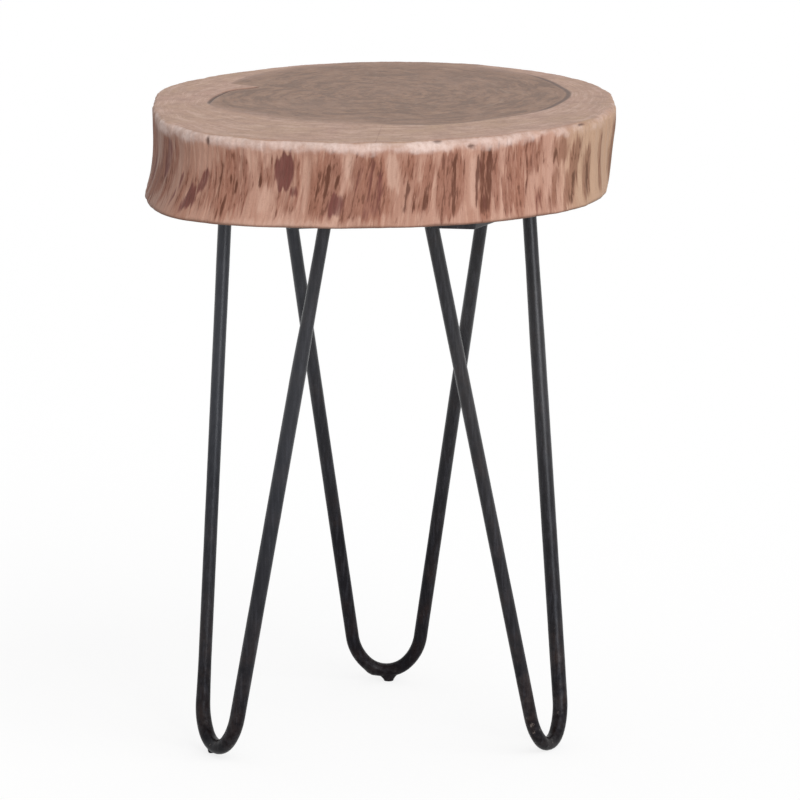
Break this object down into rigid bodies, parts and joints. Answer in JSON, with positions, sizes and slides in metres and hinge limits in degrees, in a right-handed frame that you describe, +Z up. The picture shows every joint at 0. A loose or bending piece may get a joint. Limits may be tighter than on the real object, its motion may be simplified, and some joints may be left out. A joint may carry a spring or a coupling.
{
  "type": "side table",
  "caption": "Round live-edge wood slice carried on splayed black hairpin legs, a low side table to set things on beside a chair or sofa.",
  "frame": {"origin": "on the floor, at the middle of the table's bounding box", "axes": "+Z up from the floor to the top, +X to the right and +Y to the rear as the table is seen from the front"},
  "size_m": [0.3982, 0.4071, 0.55],
  "materials": {
    "slab_wood": "satin clear finish over sanded end grain and bare live edge",
    "black_paint": "satin black paint on bent steel bar and flat plate",
    "screw_steel": "plated wood screws"
  },
  "bodies": {
    "root": {"top_slab": "slab_wood", "left_hairpin_rod": "black_paint", "left_mounting_plate": "black_paint", "left_front_weld": "black_paint", "left_back_weld": "black_paint", "right_hairpin_rod": "black_paint", "right_mounting_plate": "black_paint", "right_front_weld": "black_paint", "right_back_weld": "black_paint", "rear_hairpin_rod": "black_paint", "rear_mounting_plate": "black_paint", "rear_left_weld": "black_paint", "rear_right_weld": "black_paint", "left_foot_nub": "black_paint", "rear_foot_nub": "black_paint", "left_plate_screw_1": "screw_steel", "left_plate_screw_2": "screw_steel", "left_plate_screw_3": "screw_steel", "left_plate_screw_4": "screw_steel", "right_plate_screw_1": "screw_steel", "right_plate_screw_2": "screw_steel", "right_plate_screw_3": "screw_steel", "right_plate_screw_4": "screw_steel", "rear_plate_screw_1": "screw_steel", "rear_plate_screw_2": "screw_steel", "rear_plate_screw_3": "screw_steel", "rear_plate_screw_4": "screw_steel"}
  },
  "joints": []
}
